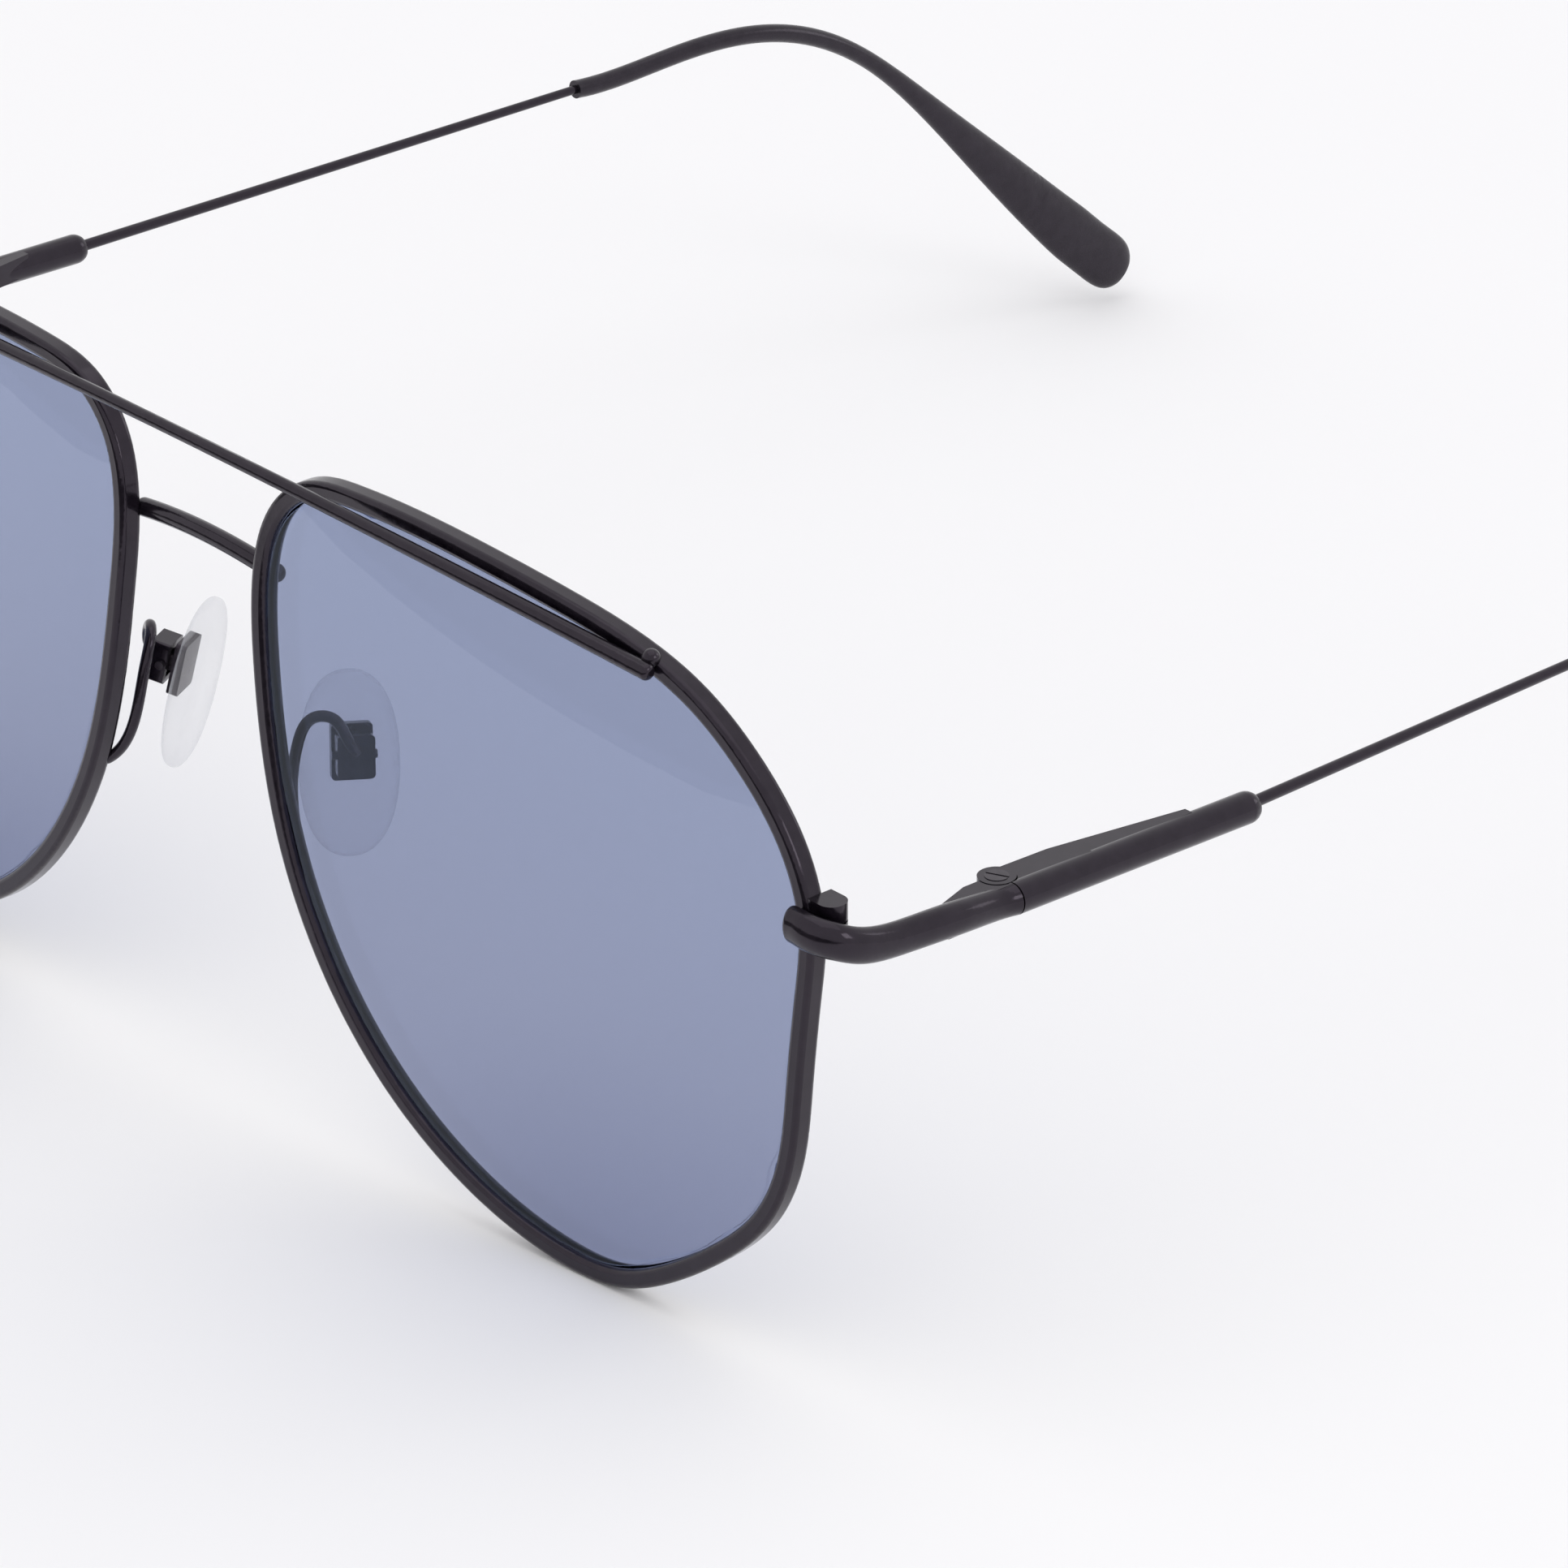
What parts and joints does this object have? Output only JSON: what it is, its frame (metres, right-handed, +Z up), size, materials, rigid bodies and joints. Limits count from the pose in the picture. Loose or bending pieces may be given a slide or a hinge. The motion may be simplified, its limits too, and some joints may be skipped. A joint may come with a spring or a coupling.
{
  "type": "aviator sunglasses",
  "caption": "Wire-framed aviator sunglasses with a straight brow bar, an arched bridge, tinted teardrop lenses, rocking nose pads and folding temples.",
  "frame": {"origin": "middle of the footprint of the sunglasses standing open on a table, on the table's surface", "axes": "+X towards the wearer's left, +Y back along the temples, +Z up; the lenses face -Y"},
  "size_m": [0.144, 0.1598, 0.0563],
  "materials": {
    "lacquered_metal": "glossy black lacquer over drawn metal wire",
    "lens_glass": "smooth blue-grey tinted lens with a faint mirror coat",
    "pad_silicone": "clear soft silicone, slightly milky",
    "tip_plastic": "glossy black moulded plastic",
    "screw_steel": "darkened steel"
  },
  "bodies": {
    "front": {"brow_bar": "lacquered_metal", "brow_bar_studs": "lacquered_metal", "bridge": "lacquered_metal", "rim_left": "lacquered_metal", "lens_left": "lens_glass", "endpiece_left": "lacquered_metal", "rim_lock_upper_left": "lacquered_metal", "rim_lock_lower_left": "lacquered_metal", "rim_lock_screw_left": "screw_steel", "hinge_screw_left": "screw_steel", "pad_arm_left": "lacquered_metal", "pad_box_left": "lacquered_metal", "pad_pin_left": "screw_steel", "rim_right": "lacquered_metal", "lens_right": "lens_glass", "endpiece_right": "lacquered_metal", "rim_lock_upper_right": "lacquered_metal", "rim_lock_lower_right": "lacquered_metal", "rim_lock_screw_right": "screw_steel", "hinge_screw_right": "screw_steel", "pad_arm_right": "lacquered_metal", "pad_box_right": "lacquered_metal", "pad_pin_right": "screw_steel"},
    "temple_left": {"temple_tube_left": "lacquered_metal", "temple_wire_left": "lacquered_metal", "temple_tip_left": "tip_plastic"},
    "temple_right": {"temple_tube_right": "lacquered_metal", "temple_wire_right": "lacquered_metal", "temple_tip_right": "tip_plastic"},
    "pad_left": {"nose_pad_left": "pad_silicone", "pad_insert_left": "screw_steel"},
    "pad_right": {"nose_pad_right": "pad_silicone", "pad_insert_right": "screw_steel"}
  },
  "joints": [
    {"name": "temple_left_fold", "type": "hinge", "parent": "front", "child": "temple_left", "pos_m": [0.069, -0.05835, 0.03546], "axis": [0, 0, 1], "range_deg": [0, 93]},
    {"name": "temple_right_fold", "type": "hinge", "parent": "front", "child": "temple_right", "pos_m": [-0.069, -0.05835, 0.03546], "axis": [0, 0, -1], "range_deg": [0, 88]},
    {"name": "pad_left_rock", "type": "hinge", "parent": "front", "child": "pad_left", "pos_m": [0.01147, -0.07159, 0.02987], "axis": [0.4978, 0.8661, -0.0457], "range_deg": [-10, 10]},
    {"name": "pad_right_rock", "type": "hinge", "parent": "front", "child": "pad_right", "pos_m": [-0.01147, -0.07159, 0.02987], "axis": [0.4978, -0.8661, 0.0457], "range_deg": [-10, 10]}
  ]
}
